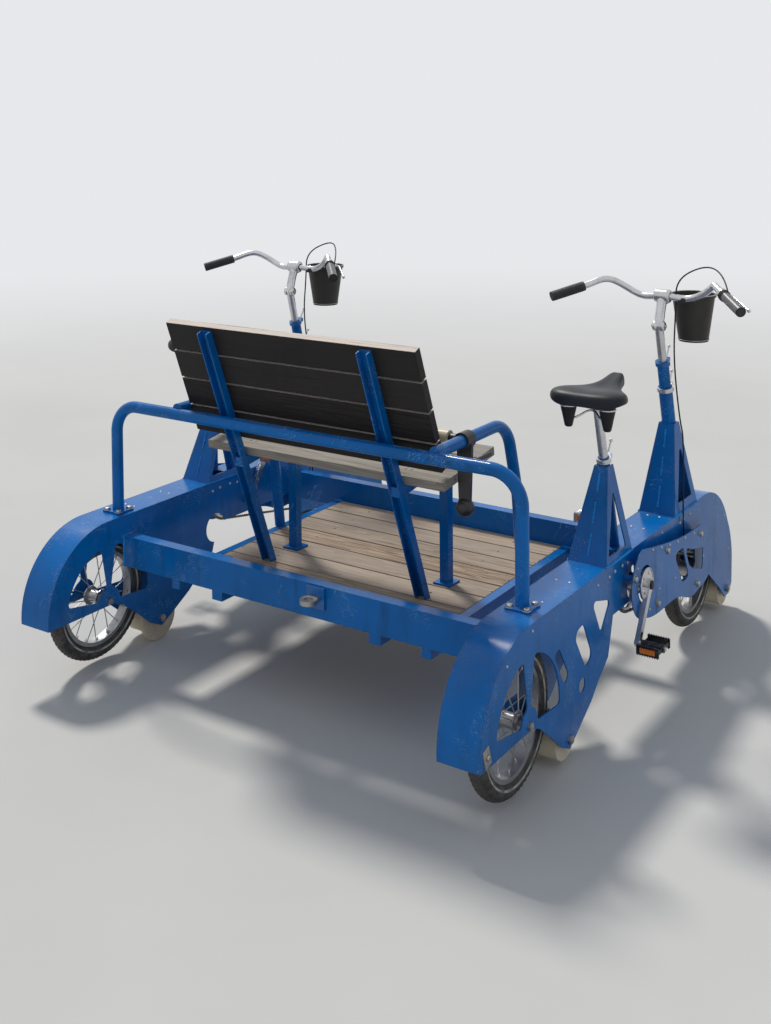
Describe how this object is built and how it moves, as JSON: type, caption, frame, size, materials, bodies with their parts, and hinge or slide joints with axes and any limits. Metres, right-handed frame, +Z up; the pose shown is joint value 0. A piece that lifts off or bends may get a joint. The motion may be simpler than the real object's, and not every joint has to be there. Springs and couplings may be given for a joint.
{
  "type": "rail draisine",
  "caption": "Open pedal-driven rail draisine with a slatted bench on a planked deck between two wheel boxes, each with a saddle, handlebar, cranks and flanged guide rollers.",
  "frame": {"origin": "middle of the overall box at its lowest face, the guide rollers' flange bottoms", "axes": "+Y forward, towards the front wheels and handlebars; +X to the right across the track; +Z up"},
  "size_m": [2.1466, 1.885, 1.273],
  "materials": {
    "frame_paint": "gloss",
    "plank_wood": "weathered",
    "back_wood": "stained",
    "tyre": "worn",
    "rim_alloy": "satin",
    "bar_alloy": "polished",
    "crank_alloy": "bright",
    "saddle_skin": "satin",
    "grip_rubber": "matte",
    "bucket_plastic": "satin",
    "roller_plastic": "matte",
    "chain_steel": "oily",
    "pedal_alloy": "satin",
    "zinc_steel": "zinc plated",
    "black_metal": "satin"
  },
  "bodies": {
    "chassis": {"left_outer_plate": "frame_paint", "right_outer_plate": "frame_paint", "left_inner_plate": "frame_paint", "right_inner_plate": "frame_paint", "left_edge_strip": "frame_paint", "right_edge_strip": "frame_paint", "seat_tubes": "frame_paint", "seat_clamps": "bar_alloy", "bar_columns": "frame_paint", "column_collars": "bar_alloy", "chain_guards": "frame_paint", "chains": "chain_steel", "axles": "zinc_steel", "rear_beam": "frame_paint", "front_beam": "frame_paint", "inner_rails": "frame_paint", "deck_bearers": "frame_paint", "deck_planks": "plank_wood", "seat_planks": "plank_wood", "back_planks": "back_wood", "bench_frames": "frame_paint", "rear_rail": "frame_paint", "armrests": "frame_paint", "front_bar": "frame_paint", "coupling_eye": "zinc_steel", "brake_handle": "black_metal"},
    "rear_left_wheel": {"rear_left_wheel": "rim_alloy", "rear_left_tyre": "tyre"},
    "front_left_wheel": {"front_left_wheel": "rim_alloy", "front_left_tyre": "tyre"},
    "rear_left_roller": {"rear_left_roller": "roller_plastic"},
    "front_left_roller": {"front_left_roller": "roller_plastic"},
    "left_crankset": {"left_crankset": "crank_alloy"},
    "left_outer_pedal": {"left_outer_pedal": "pedal_alloy"},
    "left_inner_pedal": {"left_inner_pedal": "pedal_alloy"},
    "left_saddle": {"left_seatpost": "bar_alloy", "left_saddle": "saddle_skin"},
    "left_handlebar": {"left_handlebar": "bar_alloy", "left_grips": "grip_rubber", "left_bucket": "bucket_plastic", "left_brake_lever": "bar_alloy", "left_cable": "grip_rubber"},
    "rear_right_wheel": {"rear_right_wheel": "rim_alloy", "rear_right_tyre": "tyre"},
    "front_right_wheel": {"front_right_wheel": "rim_alloy", "front_right_tyre": "tyre"},
    "rear_right_roller": {"rear_right_roller": "roller_plastic"},
    "front_right_roller": {"front_right_roller": "roller_plastic"},
    "right_crankset": {"right_crankset": "crank_alloy"},
    "right_outer_pedal": {"right_outer_pedal": "pedal_alloy"},
    "right_inner_pedal": {"right_inner_pedal": "pedal_alloy"},
    "right_saddle": {"right_seatpost": "bar_alloy", "right_saddle": "saddle_skin"},
    "right_handlebar": {"right_handlebar": "bar_alloy", "right_grips": "grip_rubber", "right_bucket": "bucket_plastic", "right_brake_lever": "bar_alloy", "right_cable": "grip_rubber"}
  },
  "joints": [
    {"name": "rear_left_wheel_spin", "type": "hinge", "parent": "chassis", "child": "rear_left_wheel", "pos_m": [-0.75, -0.6835, 0.213], "axis": [1, 0, 0], "continuous": true},
    {"name": "front_left_wheel_spin", "type": "hinge", "parent": "chassis", "child": "front_left_wheel", "pos_m": [-0.75, 0.6345, 0.213], "axis": [1, 0, 0], "continuous": true},
    {"name": "rear_left_roller_spin", "type": "hinge", "parent": "chassis", "child": "rear_left_roller", "pos_m": [-0.75, -0.4425, 0.078], "axis": [1, 0, 0], "continuous": true},
    {"name": "front_left_roller_spin", "type": "hinge", "parent": "chassis", "child": "front_left_roller", "pos_m": [-0.75, 0.8645, 0.078], "axis": [1, 0, 0], "continuous": true},
    {"name": "left_crank_spin", "type": "hinge", "parent": "chassis", "child": "left_crankset", "pos_m": [-0.75, 0.0145, 0.369], "axis": [1, 0, 0], "continuous": true},
    {"name": "left_outer_pedal_spin", "type": "hinge", "parent": "left_crankset", "child": "left_outer_pedal", "pos_m": [-0.905, -0.07559, 0.22483], "axis": [1, 0, 0], "continuous": true},
    {"name": "left_inner_pedal_spin", "type": "hinge", "parent": "left_crankset", "child": "left_inner_pedal", "pos_m": [-0.62, 0.10459, 0.51317], "axis": [1, 0, 0], "continuous": true},
    {"name": "left_saddle_height", "type": "slide", "parent": "chassis", "child": "left_saddle", "axis": [0, -0.2588, 0.9659], "range_m": [-0.14, 0.03]},
    {"name": "left_bar_height", "type": "slide", "parent": "chassis", "child": "left_handlebar", "axis": [0, -0.2588, 0.9659], "range_m": [-0.1, 0.02], "deforming": ["left_cable"]},
    {"name": "rear_right_wheel_spin", "type": "hinge", "parent": "chassis", "child": "rear_right_wheel", "pos_m": [0.75, -0.6835, 0.213], "axis": [1, 0, 0], "continuous": true},
    {"name": "front_right_wheel_spin", "type": "hinge", "parent": "chassis", "child": "front_right_wheel", "pos_m": [0.75, 0.6345, 0.213], "axis": [1, 0, 0], "continuous": true},
    {"name": "rear_right_roller_spin", "type": "hinge", "parent": "chassis", "child": "rear_right_roller", "pos_m": [0.75, -0.4425, 0.078], "axis": [1, 0, 0], "continuous": true},
    {"name": "front_right_roller_spin", "type": "hinge", "parent": "chassis", "child": "front_right_roller", "pos_m": [0.75, 0.8645, 0.078], "axis": [1, 0, 0], "continuous": true},
    {"name": "right_crank_spin", "type": "hinge", "parent": "chassis", "child": "right_crankset", "pos_m": [0.75, 0.0145, 0.369], "axis": [1, 0, 0], "continuous": true},
    {"name": "right_outer_pedal_spin", "type": "hinge", "parent": "right_crankset", "child": "right_outer_pedal", "pos_m": [0.905, -0.07559, 0.22483], "axis": [1, 0, 0], "continuous": true},
    {"name": "right_inner_pedal_spin", "type": "hinge", "parent": "right_crankset", "child": "right_inner_pedal", "pos_m": [0.62, 0.10459, 0.51317], "axis": [1, 0, 0], "continuous": true},
    {"name": "right_saddle_height", "type": "slide", "parent": "chassis", "child": "right_saddle", "axis": [0, -0.2588, 0.9659], "range_m": [-0.14, 0.03]},
    {"name": "right_bar_height", "type": "slide", "parent": "chassis", "child": "right_handlebar", "axis": [0, -0.2588, 0.9659], "range_m": [-0.1, 0.02], "deforming": ["right_cable"]}
  ]
}
